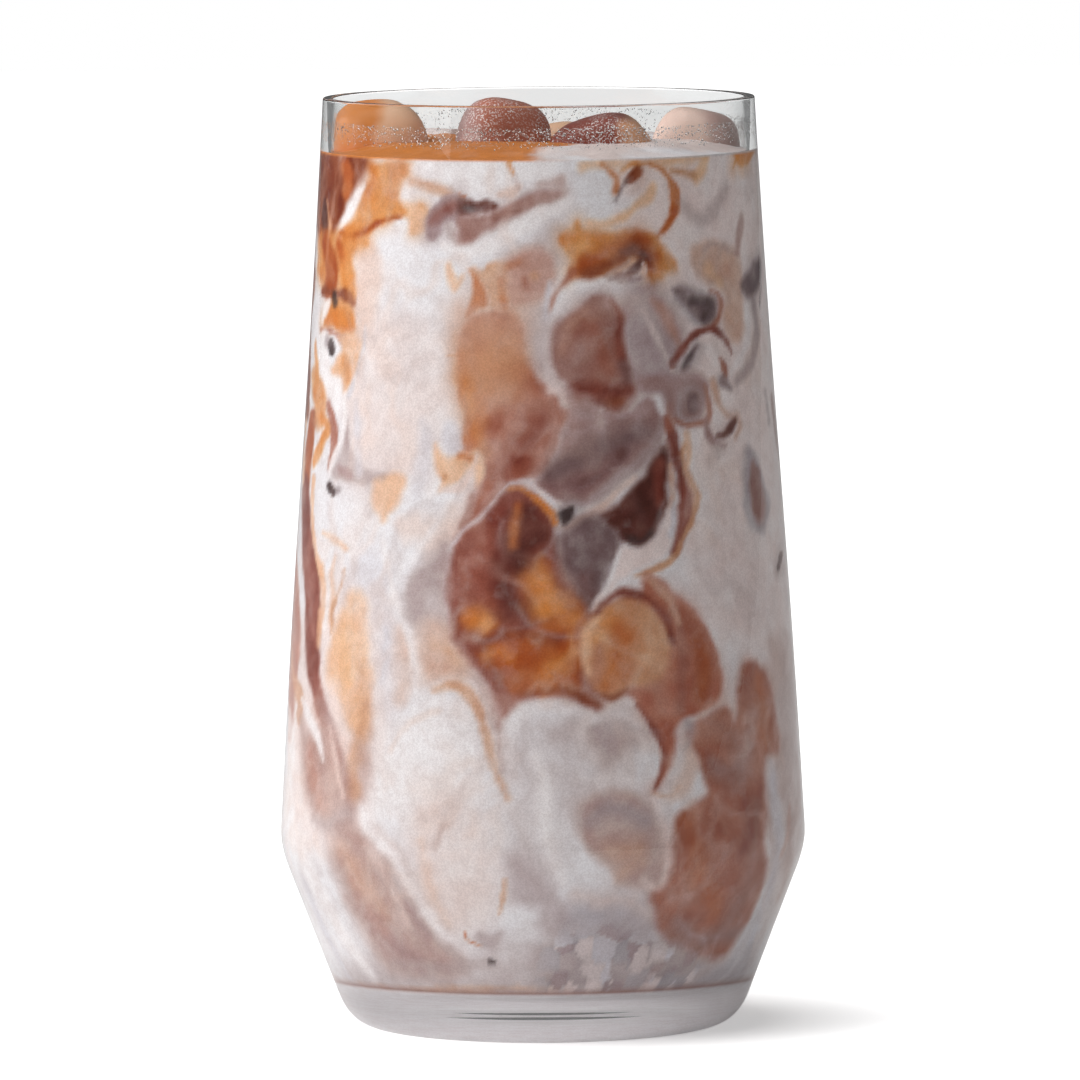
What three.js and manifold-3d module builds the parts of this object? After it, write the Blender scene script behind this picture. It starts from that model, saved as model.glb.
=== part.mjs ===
// Iced mocha in a long-drink tumbler: the glass, the drink that fills it and the ice that stands
// out of the drink. Millimetres, +Z up, origin on the table at the middle of the glass's foot.
import * as THREE from "three";
import { mergeVertices } from "three/addons/utils/BufferGeometryUtils.js";
import Module from "manifold-3d";

const wasm = await Module();
wasm.setup();

// Tumbler, outside
const height = 146;
const rimRadius = 33.8;
const shoulderRadius = 41.2;
const shoulderHeight = 31.5;
const wallBow = 0.15;
const taperTopRadius = 39.95;
const taperTopHeight = 24.8;
const taperSlope = 0.388;
const heelHeight = 5.1;
const footRadius = 25.7;
const footRecessRadius = 19;
const footRecessDepth = 0.6;

// Tumbler, inside
const rimWall = 1.6;
const shoulderWall = 2.2;
const taperWall = 2.9;
const cornerHeight = 14;
const floorHeight = 8.5;
const floorRadius = 24.5;

// Drink and ice
const fillHeight = 137.7;
const gap = 0.3;
const iceSquareness = 3;
const iceDent = 0.35;

const turns = 56;
const wallSteps = 6;
const shoulderSteps = 3;
const bendSteps = 4;
const iceGrid = 4;

const glassLook = new THREE.MeshStandardMaterial({ color: 0xe9eeee, roughness: 0.03, metalness: 0 });
const drinkLook = new THREE.MeshStandardMaterial({ color: 0xcdb6a8, roughness: 0.4, metalness: 0 });
const iceLook = new THREE.MeshStandardMaterial({ color: 0xb58b66, roughness: 0.15, metalness: 0 });

// The long wall between shoulder and rim: almost straight, with a slight S.
function wallRadius(z) {
  const share = (z - shoulderHeight) / (height - shoulderHeight);
  const straight = shoulderRadius + (rimRadius - shoulderRadius) * share;
  return straight + wallBow * Math.sin(2 * Math.PI * share);
}

// The lower wall, which leans in from the shoulder to the foot.
function taperRadius(z) {
  return taperTopRadius - taperSlope * (taperTopHeight - z);
}

// Thickness of the wall at a height.
function wallThickness(z) {
  if (z >= shoulderHeight) {
    const share = (z - shoulderHeight) / (height - shoulderHeight);
    return shoulderWall + (rimWall - shoulderWall) * share;
  }
  const share = (shoulderHeight - z) / (shoulderHeight - cornerHeight);
  return shoulderWall + (taperWall - shoulderWall) * Math.min(share, 1);
}

// Points of a quadratic bend from a to c, pulled towards b, without its first point.
function bend(a, b, c, steps) {
  const curve = new THREE.QuadraticBezierCurve(a, b, c);
  return curve.getPoints(steps).slice(1);
}

// Where the lines of the long wall and the lower wall would cross.
const shoulderCorner = new THREE.Vector2(41.45, 28.7);

// Outline of the outside from the heel up to the lip, as radius and height.
function outerProfile() {
  const points = [new THREE.Vector2(footRadius, 0)];
  const heelCorner = new THREE.Vector2(taperRadius(0), 0);
  const heelTop = new THREE.Vector2(taperRadius(heelHeight), heelHeight);
  points.push(...bend(points[0], heelCorner, heelTop, bendSteps));
  const taperTop = new THREE.Vector2(taperTopRadius, taperTopHeight);
  points.push(taperTop);
  const wallFoot = new THREE.Vector2(wallRadius(shoulderHeight), shoulderHeight);
  points.push(...bend(taperTop, shoulderCorner, wallFoot, shoulderSteps));
  const lipHeight = height - rimWall / 2;
  for (let i = 1; i <= wallSteps; i++) {
    const z = shoulderHeight + ((lipHeight - shoulderHeight) * i) / wallSteps;
    points.push(new THREE.Vector2(wallRadius(z), z));
  }
  return points;
}

// Outline of the inside from the middle of the floor up to the lip, as radius and height.
function innerProfile(inset, top) {
  const wall = (z) => (z >= shoulderHeight ? wallRadius(z) : taperRadius(z)) - wallThickness(z) - inset;
  const floor = floorHeight + inset;
  const points = [new THREE.Vector2(0, floor), new THREE.Vector2(floorRadius, floor)];
  const corner = new THREE.Vector2(wall(floor), floor);
  const cornerTop = new THREE.Vector2(wall(cornerHeight), cornerHeight);
  points.push(...bend(points[1], corner, cornerTop, bendSteps));
  const below = new THREE.Vector2(wall(taperTopHeight), taperTopHeight);
  points.push(below);
  const above = new THREE.Vector2(wall(shoulderHeight), shoulderHeight);
  const between = shoulderCorner.clone().sub(new THREE.Vector2(shoulderWall + inset + 0.05, 0));
  points.push(...bend(below, between, above, shoulderSteps));
  for (let i = 1; i <= wallSteps; i++) {
    const z = shoulderHeight + ((top - shoulderHeight) * i) / wallSteps;
    points.push(new THREE.Vector2(wall(z), z));
  }
  return points;
}

// A body turned about +Z from its outline; LatheGeometry turns about Y.
function turned(profile) {
  return new THREE.LatheGeometry(profile, turns).rotateX(Math.PI / 2);
}

function tumbler() {
  const lipHeight = height - rimWall / 2;
  const outside = outerProfile();
  const inside = innerProfile(0, lipHeight);
  const lipOut = outside[outside.length - 1];
  const lipIn = inside[inside.length - 1];
  const middle = lipOut.clone().add(lipIn).multiplyScalar(0.5);
  const lip = [];
  for (let i = 1; i < bendSteps; i++) {
    const a = (Math.PI * i) / bendSteps;
    const r = lipOut.distanceTo(lipIn) / 2;
    lip.push(new THREE.Vector2(middle.x + r * Math.cos(a), middle.y + r * Math.sin(a)));
  }
  const recess = [
    new THREE.Vector2(0, footRecessDepth),
    new THREE.Vector2(footRecessRadius - footRecessDepth, footRecessDepth),
    new THREE.Vector2(footRecessRadius, 0),
  ];
  return turned([...recess, ...outside, ...lip, ...inside.reverse()]);
}

// A melted ice cube: a box whose corners have rounded off and whose sides have sunk unevenly.
function iceCube(size, seed) {
  const geometry = new THREE.BoxGeometry(2, 2, 2, iceGrid, iceGrid, iceGrid);
  const place = geometry.getAttribute("position");
  const v = new THREE.Vector3();
  for (let i = 0; i < place.count; i++) {
    v.fromBufferAttribute(place, i);
    const reach = ["x", "y", "z"].reduce((sum, k) => sum + Math.abs(v[k]) ** iceSquareness, 0);
    v.multiplyScalar(reach ** (-1 / iceSquareness));
    const dent = iceDent * Math.sin(2.1 * v.x + seed) * Math.sin(2.7 * v.y + 2 * seed + v.z);
    v.set(v.x * (size[0] / 2 - dent), v.y * (size[1] / 2 - dent), v.z * (size[2] / 2 - dent));
    place.setXYZ(i, v.x, v.y, v.z);
  }
  return geometry;
}

// The pieces of ice that stand out of the drink: middle, size, and turns about X, Y and Z in degrees.
const icePieces = [
  { name: "ice_left", at: [-24.8, 1.5, 135.9], size: [15.5, 15.5, 19.5], turn: [8, -8, 10] },
  { name: "ice_middle", at: [-6, 0.5, 136.2], size: [14.8, 15, 19.5], turn: [-8, 8, 16] },
  { name: "ice_front_right", at: [10.3, -9.5, 134.3], size: [17.2, 14, 18.2], turn: [10, -15, 8] },
  { name: "ice_right", at: [24.6, 4.0, 134.4], size: [14.5, 15, 18.5], turn: [-10, 11, -8] },
  { name: "ice_back_left", at: [-14.8, 20.4, 131.4], size: [16, 15, 17], turn: [12, 10, 30] },
  { name: "ice_back", at: [2.6, 20.6, 132.2], size: [15, 15, 17], turn: [-12, -12, 8] },
  { name: "ice_back_right", at: [20.2, 19.2, 130.6], size: [13, 13, 16], turn: [10, 10, 40] },
];

// The solid of a geometry, with its shared vertices merged.
function solidOf(geometry) {
  const bare = geometry.clone().deleteAttribute("normal").deleteAttribute("uv");
  const merged = mergeVertices(bare, 1e-3);
  const vertProperties = new Float32Array(merged.getAttribute("position").array);
  return new wasm.Manifold(
    new wasm.Mesh({ numProp: 3, vertProperties, triVerts: new Uint32Array(merged.index.array) }),
  );
}

// The vertices and triangles of a solid as a geometry.
function geometryOf(solid) {
  const mesh = solid.getMesh();
  const geometry = new THREE.BufferGeometry();
  geometry.setAttribute("position", new THREE.BufferAttribute(mesh.vertProperties, mesh.numProp));
  geometry.setIndex(new THREE.BufferAttribute(mesh.triVerts, 1));
  geometry.computeVertexNormals();
  return geometry;
}

// The solid of a piece of ice in its place, grown on each side by a clearance.
function iceBlock(piece, seed, clearance) {
  const size = piece.size.map((s) => s + 2 * clearance);
  const turn = new THREE.Euler(...piece.turn.map(THREE.MathUtils.degToRad));
  const place = new THREE.Matrix4().makeRotationFromEuler(turn).setPosition(...piece.at);
  return solidOf(iceCube(size, seed).applyMatrix4(place));
}

// A piece of ice that has melted to the curve of the wall where it leans on it.
function ice(piece, seed) {
  const room = innerProfile(gap, height);
  room.push(new THREE.Vector2(0, height));
  return geometryOf(iceBlock(piece, seed, 0).intersect(solidOf(turned(room))));
}

// The drink fills the glass to its level, with a hollow for each piece of ice.
function drink() {
  const profile = innerProfile(gap, fillHeight);
  profile.push(new THREE.Vector2(0, fillHeight));
  let body = solidOf(turned(profile));
  icePieces.forEach((piece, i) => {
    body = body.subtract(iceBlock(piece, i, gap * 1.2));
  });
  return geometryOf(body);
}

const icedMocha = new THREE.Group();

function addPiece(name, geometry, look) {
  const mesh = new THREE.Mesh(geometry, look);
  mesh.name = name;
  icedMocha.add(mesh);
}

addPiece("glass", tumbler(), glassLook);
addPiece("drink", drink(), drinkLook);
icePieces.forEach((piece, i) => addPiece(piece.name, ice(piece, i), iceLook));

export default icedMocha;
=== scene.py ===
import math

import bmesh
import bpy
import numpy as np
from mathutils import Euler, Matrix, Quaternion, Vector


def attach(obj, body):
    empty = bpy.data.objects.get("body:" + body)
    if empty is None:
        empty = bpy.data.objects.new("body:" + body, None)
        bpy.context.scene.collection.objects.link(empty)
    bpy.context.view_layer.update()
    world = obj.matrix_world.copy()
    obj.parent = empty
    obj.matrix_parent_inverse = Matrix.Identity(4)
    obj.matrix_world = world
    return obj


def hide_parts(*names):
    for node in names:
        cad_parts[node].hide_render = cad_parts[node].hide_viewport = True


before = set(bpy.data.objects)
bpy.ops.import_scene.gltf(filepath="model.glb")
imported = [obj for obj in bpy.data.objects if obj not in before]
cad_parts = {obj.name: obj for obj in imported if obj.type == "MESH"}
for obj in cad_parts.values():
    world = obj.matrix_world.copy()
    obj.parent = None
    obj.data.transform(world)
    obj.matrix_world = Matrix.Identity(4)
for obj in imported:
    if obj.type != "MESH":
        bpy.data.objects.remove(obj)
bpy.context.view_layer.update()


# The studio: a white table and a white room, a large softbox on the left whose front edge shows as a
# veil on the glass, and a weaker light from above. The eye is level with a standing drinker's chest.
MM = 0.001
EYE = (0, -1941, 236)
EYE_ON = (-0.2, 0, 76.3)
LENS = 413.5
LEAN = math.radians(0.34)

scene = bpy.context.scene
scene.view_settings.view_transform = "Standard"


def link(name, data):
    piece = bpy.data.objects.new(name, data)
    scene.collection.objects.link(piece)
    return piece


camera = link("eye", bpy.data.cameras.new("eye"))
camera.data.lens = LENS
camera.data.clip_end = 30
camera.location = Vector(EYE) * MM
sight = (Vector(EYE_ON) - Vector(EYE)).to_track_quat("-Z", "Y")
camera.rotation_mode = "QUATERNION"
camera.rotation_quaternion = sight @ Quaternion((0, 0, 1), -LEAN)
scene.camera = camera


def softbox(name, place, towards, size, power):
    lamp = link(name, bpy.data.lights.new(name, "AREA"))
    lamp.data.shape = "RECTANGLE"
    lamp.data.size, lamp.data.size_y = (side * MM for side in size)
    lamp.data.energy = power
    lamp.location = Vector(place) * MM
    lamp.rotation_euler = (Vector(towards) - Vector(place)).to_track_quat("-Z", "Y").to_euler()
    return lamp


key = softbox("key_left", (-700, -110, 750), (0, -110, 750), (1500, 1100), 10.8)
key.visible_glossy = False
softbox("strip_left", (-590, -390, 560), (0, 0, 80), (330, 900), 1.6)
softbox("light_above", (-150, 60, 1500), (0, 0, 0), (1000, 1000), 3)
under = softbox("light_in_foot", (0, 0, 0.3), (0, 0, 10), (32, 32), 0.00105)
under.data.shape = "DISK"
under.visible_camera = under.visible_transmission = under.visible_glossy = False


def add(tree, kind, inputs=None, **settings):
    """The outputs of a new node. Its inputs are set to values, or linked to the outputs of others."""
    node = tree.nodes.new("ShaderNode" + kind)
    for name, value in settings.items():
        setattr(node, name, value)
    for name, value in (inputs or {}).items():
        if isinstance(value, bpy.types.NodeSocket):
            tree.links.new(value, node.inputs[name])
        else:
            node.inputs[name].default_value = value
    return node.outputs


def ramp(tree, value, ends, levels):
    """A value's smooth step from one level to another."""
    return add(tree, "MapRange", {
        "Value": value, "From Min": ends[0], "From Max": ends[1], "To Min": levels[0], "To Max": levels[1],
    }, interpolation_type="SMOOTHSTEP")[0]


def node_material(name):
    """An empty node material and its tree."""
    material = bpy.data.materials.new(name)
    material.use_nodes = True
    material.node_tree.nodes.clear()
    return material, material.node_tree


def stage_floor():
    """A white table with a painted glow, seen by the eye and more weakly through the glass. The glow is dim
    close to the glass, so that its shadow shows there, and rises to pure white away from it.
    """
    side = 3.4
    mesh = bpy.data.meshes.new("table_top")
    corners = [(-side, -side, 0), (side, -side, 0), (side, side, 0), (-side, side, 0)]
    mesh.from_pydata(corners, [], [(0, 1, 2, 3)])
    material, tree = node_material("white_table")
    where = add(tree, "TexCoord")["Object"]
    aside = add(tree, "VectorMath", {0: where, 1: (9 * MM, 6 * MM, 0)}, operation="SUBTRACT")[0]
    away = add(tree, "VectorMath", {0: aside}, operation="LENGTH")["Value"]
    # Painted glow: low near the glass, a little to its right and back, where the shadow should show, and high
    # enough further out to read as pure white.
    painted_glow = add(tree, "MapRange", {
        "Value": away, "From Min": 26 * MM, "From Max": 60 * MM, "To Min": 0.3, "To Max": 0.95,
    })[0]
    path = add(tree, "LightPath")
    straight, bent = path["Is Camera Ray"], path["Is Transmission Ray"]
    share = add(tree, "Math", {0: bent, 1: 0.62, 2: straight}, operation="MULTIPLY_ADD")[0]
    seen = add(tree, "Math", {0: painted_glow, 1: share}, operation="MULTIPLY")[0]
    glow = add(tree, "Emission", {"Strength": seen})[0]
    matt = add(tree, "BsdfDiffuse", {"Color": (0.9, 0.9, 0.9, 1)})[0]
    add(tree, "OutputMaterial", {"Surface": add(tree, "AddShader", {0: matt, 1: glow})[0]})
    mesh.materials.append(material)
    link("table_top", mesh)


stage_floor()


def white_room():
    """White where the eye looks straight at it, a dim grey room as a source of light, darker still
    where it mirrors in the glass. Through the glass a paler backdrop shows, lit from its left."""
    world = bpy.data.worlds.new("white_room")
    scene.world = world
    world.use_nodes = True
    tree = world.node_tree
    tree.nodes.clear()

    def grey(level):
        return (level, level, level, 1)

    def light(colour):
        return add(tree, "Background", {"Color": colour})[0]

    def either(share, a, b):
        return add(tree, "MixShader", {0: share, 1: a, 2: b})[0]

    split = add(tree, "SeparateXYZ", {0: add(tree, "TexCoord")["Generated"]})
    aside = add(tree, "Math", {0: split["X"]}, operation="ABSOLUTE")[0]
    shade = add(tree, "ValToRGB", {"Fac": ramp(tree, split["X"], (-0.5, 0.5), (0, 1))})[0]
    stops = shade.node.color_ramp.elements
    for place, level in ((0.5, 0.5), (0.46, 0.7), (0.535, 0.4), (0.65, 0.48), (0.35, 0.55)):
        stops.new(place).color = grey(level)
    stops[0].color, stops[-1].color = grey(0.5), grey(0.44)
    middle, beyond = ramp(tree, aside, (0.6, 0.52), (0, 1)), ramp(tree, split["Y"], (0, 0.3), (0, 1))
    far = add(tree, "Math", {0: middle, 1: beyond}, operation="MULTIPLY")[0]
    around = light(ramp(tree, aside, (0.5, 0.95), (0.52, 0.3)))
    mirrored = light(ramp(tree, split["Y"], (0, 0.9), (0.06, 0.14)))
    path = add(tree, "LightPath")
    room = either(path["Is Transmission Ray"], light(grey(0.29)), either(far, around, light(shade)))
    room = either(path["Is Glossy Ray"], room, mirrored)
    room = either(path["Is Camera Ray"], room, light(grey(1)))
    add(tree, "OutputWorld", {"Surface": room})


white_room()


# The tumbler: pressed clear glass, blown thin towards the rim, with an angled shoulder, a thick foot
# and a fire-polished lip. It is one turned body, made from the same outline as its CAD node.
HEIGHT = 146
RIM_RADIUS, RIM_WALL, LIP_EDGE = 33.8, 1.6, 0.25
SHOULDER_RADIUS, SHOULDER_HEIGHT, SHOULDER_WALL = 41.2, 31.5, 2.2
WALL_BOW = 0.15
TAPER_TOP_RADIUS, TAPER_TOP_HEIGHT, TAPER_SLOPE, TAPER_WALL = 39.95, 24.8, 0.388, 2.9
SHOULDER_CORNER = (41.45, 28.7)
HEEL_HEIGHT, FOOT_RADIUS, FOOT_RECESS_RADIUS, FOOT_RECESS_DEPTH = 5.1, 25.7, 19, 0.6
CORNER_HEIGHT, FLOOR_HEIGHT, FLOOR_RADIUS = 14, 8.5, 24.5
FILL_HEIGHT = 137.7
GLASS_TURNS, GLASS_IOR = 224, 1.5


def wall_radius(z):
    share = (z - SHOULDER_HEIGHT) / (HEIGHT - SHOULDER_HEIGHT)
    straight = SHOULDER_RADIUS + (RIM_RADIUS - SHOULDER_RADIUS) * share
    return straight + WALL_BOW * np.sin(2 * math.pi * share)


def taper_radius(z):
    return TAPER_TOP_RADIUS - TAPER_SLOPE * (TAPER_TOP_HEIGHT - z)


def wall_thickness(z):
    if z >= SHOULDER_HEIGHT:
        share = (z - SHOULDER_HEIGHT) / (HEIGHT - SHOULDER_HEIGHT)
        return SHOULDER_WALL + (RIM_WALL - SHOULDER_WALL) * share
    share = min((SHOULDER_HEIGHT - z) / (SHOULDER_HEIGHT - CORNER_HEIGHT), 1)
    return SHOULDER_WALL + (TAPER_WALL - SHOULDER_WALL) * share


def bend(a, b, c, steps):
    """Points of a quadratic bend from a to c, pulled towards b, without its first point."""
    a, b, c = (np.array(p, float) for p in (a, b, c))
    t = np.linspace(0, 1, steps + 1)[1:, None]
    return [tuple(p) for p in (1 - t) ** 2 * a + 2 * t * (1 - t) * b + t ** 2 * c]


def outside_outline():
    """The outside from the foot up to the lip, as radius and height."""
    points = [(FOOT_RADIUS, 0)]
    heel_top = (taper_radius(HEEL_HEIGHT), HEEL_HEIGHT)
    points += bend(points[0], (taper_radius(0), 0), heel_top, 12)
    points.append((TAPER_TOP_RADIUS, TAPER_TOP_HEIGHT))
    wall_foot = (wall_radius(SHOULDER_HEIGHT), SHOULDER_HEIGHT)
    points += bend(points[-1], SHOULDER_CORNER, wall_foot, 10)
    heights = np.linspace(SHOULDER_HEIGHT, HEIGHT - LIP_EDGE, 21)[1:]
    points += [(wall_radius(z), z) for z in heights]
    return [(min(radius, SHOULDER_RADIUS), z) for radius, z in points]


def inside_outline(reach, top):
    """The inside from the middle of the floor up to a height, moved into the glass by a reach."""
    def wall(z):
        radius = wall_radius(z) if z >= SHOULDER_HEIGHT else taper_radius(z)
        return radius - wall_thickness(z) + reach
    floor = FLOOR_HEIGHT - reach
    points = [(0, floor), (FLOOR_RADIUS, floor)]
    points += bend(points[1], (wall(floor), floor), (wall(CORNER_HEIGHT), CORNER_HEIGHT), 10)
    points.append((wall(TAPER_TOP_HEIGHT), TAPER_TOP_HEIGHT))
    corner = (SHOULDER_CORNER[0] - SHOULDER_WALL + reach - 0.05, SHOULDER_CORNER[1])
    points += bend(points[-1], corner, (wall(SHOULDER_HEIGHT), SHOULDER_HEIGHT), 10)
    heights = np.linspace(SHOULDER_HEIGHT, top, 21)[1:]
    return points + [(wall(z), z) for z in heights]


def turned(name, outline, angles):
    """A closed body turned about +Z from an outline that starts and ends on the axis."""
    ring = np.array(outline[1:-1], float)
    turn = np.array([np.cos(angles), np.sin(angles)]).T
    sides = np.concatenate([
        ring[:, None, :1] * turn[None],
        np.broadcast_to(ring[:, None, 1:], (len(ring), len(angles), 1)),
    ], axis=2).reshape(-1, 3)
    ends = np.array([(0, 0, outline[0][1]), (0, 0, outline[-1][1])], float)
    rows, across = len(ring), len(angles)
    i, j = np.meshgrid(np.arange(rows - 1), np.arange(across), indexing="ij")
    after = (j + 1) % across
    quads = np.stack([i * across + j, i * across + after,
                      (i + 1) * across + after, (i + 1) * across + j], axis=-1).reshape(-1, 4)
    first, last = rows * across, rows * across + 1
    faces = quads.tolist()
    for k in range(across):
        after = (k + 1) % across
        faces.append((first, after, k))
        faces.append((last, (rows - 1) * across + k, (rows - 1) * across + after))
    mesh = bpy.data.meshes.new(name)
    mesh.from_pydata(np.concatenate([sides, ends]) * MM, [], faces)
    mesh.shade_smooth()
    return mesh


def held(points):
    """An outline with a point close to each end of its long stretches, so that those stay straight."""
    line = [points[0]]
    for a, b in zip(points, points[1:]):
        share = 0.05 / max(math.dist(a, b), 0.05)
        if share < 0.1:
            line += [tuple(a[k] + (b[k] - a[k]) * t for k in (0, 1)) for t in (share, 1 - share)]
        line.append(b)
    return line


def tumbler_outline():
    foot = FOOT_RECESS_RADIUS
    points = [(0, FOOT_RECESS_DEPTH), (foot - 2 * FOOT_RECESS_DEPTH, FOOT_RECESS_DEPTH)]
    points += bend(points[-1], (foot - FOOT_RECESS_DEPTH / 2, FOOT_RECESS_DEPTH / 2), (foot, 0), 4)
    outside = outside_outline()
    inside = inside_outline(0, HEIGHT - LIP_EDGE)
    quarter = np.linspace(0, math.pi / 2, 5)[1:]
    lip = [(outside[-1][0] - LIP_EDGE + LIP_EDGE * math.cos(a), HEIGHT - LIP_EDGE + LIP_EDGE * math.sin(a))
           for a in quarter]
    lip += [(inside[-1][0] + LIP_EDGE - LIP_EDGE * math.sin(a), HEIGHT - LIP_EDGE + LIP_EDGE * math.cos(a))
            for a in np.append(0, quarter[:-1])]
    return held(points + outside + lip + inside[::-1])


def glass_material():
    material, tree = node_material("clear_glass")
    shader = add(tree, "BsdfPrincipled", {
        "Base Color": (0.975, 0.985, 0.985, 1), "Roughness": 0, "IOR": GLASS_IOR, "Transmission Weight": 1,
    })
    add(tree, "OutputMaterial", {"Surface": shader[0]})
    return material


even_turn = np.linspace(0, 2 * math.pi, GLASS_TURNS, endpoint=False)
glass = link("tumbler", turned("tumbler", tumbler_outline(), even_turn))
glass.data.materials.append(glass_material())
glass.visible_shadow = False
glass.visible_diffuse = False
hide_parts("glass")
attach(glass, "root")


# The drink: milk with espresso and dark chocolate poured over ice, not stirred, so that it hangs in
# swirls behind the glass. It is one body that reaches just into the wall, painted by the pours below.
REACH = 0.12
WALL_ROWS, TOP_ROWS, DRINK_COLUMNS = 270, 22, 320
FRONT_DENSITY = 0.48
UNROLL_RADIUS = 37
SURFACE_RISE = 1.5


def noise(points, lump, seed):
    """Smooth noise of -1 to 1 at points in millimetres, with lumps of about the given size."""
    lattice = np.random.default_rng(seed).uniform(-1, 1, (32, 32, 32))
    at = points / lump
    cell = np.floor(at).astype(int)
    part = at - cell
    part = part * part * (3 - 2 * part)
    total = np.zeros(len(points))
    for corner in np.ndindex(2, 2, 2):
        share = np.prod(np.where(corner, part, 1 - part), axis=1)
        i, j, k = ((cell + corner) % 32).T
        total += share * lattice[i, j, k]
    return total


def clouds(points, lump, seed, octaves=3):
    """Noise with finer noise on it."""
    layers = [noise(points, lump / 2 ** k, seed + k) / 2 ** k for k in range(octaves)]
    return sum(layers) / sum(0.5 ** k for k in range(octaves))


def ease(low, high, value):
    share = np.clip((value - low) / (high - low), 0, 1)
    return share * share * (3 - 2 * share)


def unrolled(points):
    """Where a point seen on the drink from the front lies on its side: length round it, and height.

    Points are (across, up, ...), read on an upright plane through the glass's axis.
    """
    points = np.array(points, float)
    nearer = np.ones(len(points))
    for _ in range(4):
        x = points[:, 0] * nearer
        z = EYE[2] + (points[:, 1] - EYE[2]) * nearer
        radius = np.where(z >= SHOULDER_HEIGHT, wall_radius(z), taper_radius(z))
        sine = np.clip(x / radius, -0.9999, 0.9999)
        nearer = 1 + radius * np.sqrt(1 - sine ** 2) / EYE[1]
    wall = np.array([wall_thickness(height) for height in z])
    bent = np.arcsin(sine / GLASS_IOR)
    within = np.arcsin(np.clip(sine / GLASS_IOR * radius / (radius - wall), -1, 1))
    points[:, 0] = UNROLL_RADIUS * (np.arcsin(sine) - bent + within) + x - sine * radius
    points[:, 1] = z
    return points


def rounded(points, closed, steps=5):
    """A smooth line through the points."""
    last = points[:1] if closed else points[-1:]
    p = np.concatenate([points[-1:] if closed else points[:1], points, last,
                        points[1:2] if closed else points[-1:]])
    t = np.linspace(0, 1, steps, endpoint=False)[:, None]
    line = []
    for a, b, c, d in zip(p, p[1:], p[2:], p[3:]):
        line.append(0.5 * (2 * b + (c - a) * t + (2 * a - 5 * b + 4 * c - d) * t ** 2
                           + (3 * b - a - 3 * c + d) * t ** 3))
    return np.concatenate(line if closed else line + [points[-1:]])


def signed_distance(at, points):
    """Distance from places to the edge of a pour, negative inside it.

    Points of three numbers are a stream with a half width, points of two the outline of a patch.
    """
    stream = points.shape[1] == 3
    line = rounded(points, not stream)
    ends = line[1:] if stream else np.roll(line, -1, axis=0)
    starts = line[:len(ends)]
    nearest = np.full(len(at), 1e9)
    inside = np.zeros(len(at), bool)
    for a, b in zip(starts, ends):
        run = b[:2] - a[:2]
        t = np.clip(((at - a[:2]) @ run) / max(run @ run, 1e-9), 0, 1)
        gap = np.hypot(*(at - a[:2] - t[:, None] * run).T)
        if stream:
            gap = gap - (a[2] + (b[2] - a[2]) * t)
        else:
            crosses = (a[1] > at[:, 1]) != (b[1] > at[:, 1])
            rise = b[1] - a[1] if b[1] != a[1] else 1e-9
            inside ^= crosses & (at[:, 0] < a[0] + (at[:, 1] - a[1]) * run[0] / rise)
        nearest = np.minimum(nearest, gap)
    return nearest if stream else np.where(inside, -nearest, nearest)


TONES = {name: np.array(colour) for name, colour in {
    "milk": (0.87, 0.84, 0.86), "cream": (0.95, 0.9, 0.9), "blush": (0.88, 0.7, 0.64),
    "petal": (0.82, 0.6, 0.51), "lavender": (0.72, 0.69, 0.74), "stone": (0.92, 0.78, 0.75),
    "ash": (0.5, 0.39, 0.38), "smoke": (0.46, 0.41, 0.44), "haze": (0.52, 0.34, 0.3),
    "fog": (0.38, 0.26, 0.26), "taupe": (0.39, 0.23, 0.215), "rose": (0.55, 0.28, 0.21),
    "fawn": (0.66, 0.38, 0.27), "mauve": (0.34, 0.16, 0.13), "cocoa": (0.4, 0.13, 0.08),
    "clay": (0.48, 0.16, 0.1), "chestnut": (0.23, 0.05, 0.032), "tan": (0.66, 0.33, 0.18),
    "ochre": (0.86, 0.5, 0.27), "peach": (0.86, 0.53, 0.34), "amber": (0.7, 0.24, 0.055),
    "honey": (0.75, 0.26, 0.06), "ginger": (0.55, 0.14, 0.035), "rust": (0.4, 0.075, 0.015),
    "umber": (0.23, 0.045, 0.015), "plum": (0.11, 0.028, 0.02), "dusk": (0.19, 0.085, 0.08),
    "pewter": (0.19, 0.115, 0.115), "slate": (0.17, 0.11, 0.115), "jet": (0.05, 0.03, 0.03),
}.items()}
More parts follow.
